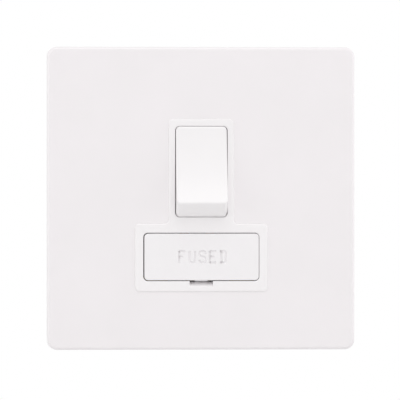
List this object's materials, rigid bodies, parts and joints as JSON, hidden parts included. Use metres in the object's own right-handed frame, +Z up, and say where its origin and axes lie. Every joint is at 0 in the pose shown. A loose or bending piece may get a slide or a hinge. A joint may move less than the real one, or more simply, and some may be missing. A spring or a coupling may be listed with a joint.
{
  "type": "fused spur unit",
  "caption": "Flush wall unit with a clip-on flat plate, a dished rocker over a slide-out fuse drawer, and a rear housing with wire terminals and rocking switch contacts.",
  "frame": {"origin": "on the wall plane, midway between the two fixing slots", "axes": "+X to the right as one faces the wall, +Y into the wall, +Z up"},
  "size_m": [0.0916, 0.0297, 0.09],
  "materials": {
    "plate": "satin white",
    "insert": "smooth white",
    "rocker": "smooth white",
    "drawer": "smooth white",
    "housing": "moulded light grey",
    "ceramic": "glazed ceramic, opaque",
    "plated_cap": "nickel plated",
    "clip": "rolled phosphor bronze",
    "terminal": "machined brass",
    "screw": "zinc plated",
    "silver": "silver",
    "spring": "drawn wire",
    "plunger": "moulded nylon",
    "contact_arm": "rolled copper alloy",
    "strap": "rolled copper alloy"
  },
  "bodies": {
    "unit": {"cover_plate": "plate", "front_moulding": "insert", "rear_housing": "housing", "line_fuse_clip": "clip", "load_fuse_clip": "clip", "live_fixed_tip": "silver", "neutral_fixed_tip": "silver", "supply_live_strap": "strap", "supply_neutral_strap": "strap", "live_centre_contact": "strap", "neutral_centre_contact": "strap", "load_live_strap": "strap", "earth_strap": "strap", "supply_neutral_terminal": "terminal", "supply_neutral_screw": "screw", "supply_live_terminal": "terminal", "supply_live_screw": "screw", "supply_earth_terminal": "terminal", "supply_earth_screw": "screw", "load_live_terminal": "terminal", "load_live_screw": "screw", "load_neutral_terminal": "terminal", "load_neutral_screw": "screw", "load_earth_terminal": "terminal", "load_earth_screw": "screw", "assembly_screw_1": "screw", "assembly_screw_2": "screw"},
    "rocker": {"rocker": "rocker", "live_plunger": "plunger", "live_plunger_spring": "spring", "neutral_plunger": "plunger", "neutral_plunger_spring": "spring"},
    "live_rocker_arm": {"live_rocking_contact": "contact_arm", "live_moving_tip": "silver"},
    "neutral_rocker_arm": {"neutral_rocking_contact": "contact_arm", "neutral_moving_tip": "silver"},
    "fuse_drawer": {"fuse_carrier": "drawer", "fuse_tube": "ceramic", "fuse_cap_left": "plated_cap", "fuse_cap_right": "plated_cap"}
  },
  "joints": [
    {"name": "rocker_hinge", "type": "hinge", "parent": "unit", "child": "rocker", "pos_m": [0, 0.0025, 0.00793], "axis": [1, 0, 0], "range_deg": [0, 23]},
    {"name": "live_arm_tilt", "type": "hinge", "parent": "unit", "child": "live_rocker_arm", "pos_m": [0.0039, 0.0118, 0.00793], "axis": [1, 0, 0], "range_deg": [-18, 0]},
    {"name": "neutral_arm_tilt", "type": "hinge", "parent": "unit", "child": "neutral_rocker_arm", "pos_m": [-0.0039, 0.0118, 0.00793], "axis": [1, 0, 0], "range_deg": [-18, 0]},
    {"name": "fuse_drawer_slide", "type": "slide", "parent": "unit", "child": "fuse_drawer", "axis": [0, -1, 0], "range_m": [0, 0.013]}
  ],
  "couplings": [
    {"joint": "live_arm_tilt", "follows": "rocker_hinge", "ratio": -0.78261},
    {"joint": "neutral_arm_tilt", "follows": "rocker_hinge", "ratio": -0.78261}
  ]
}
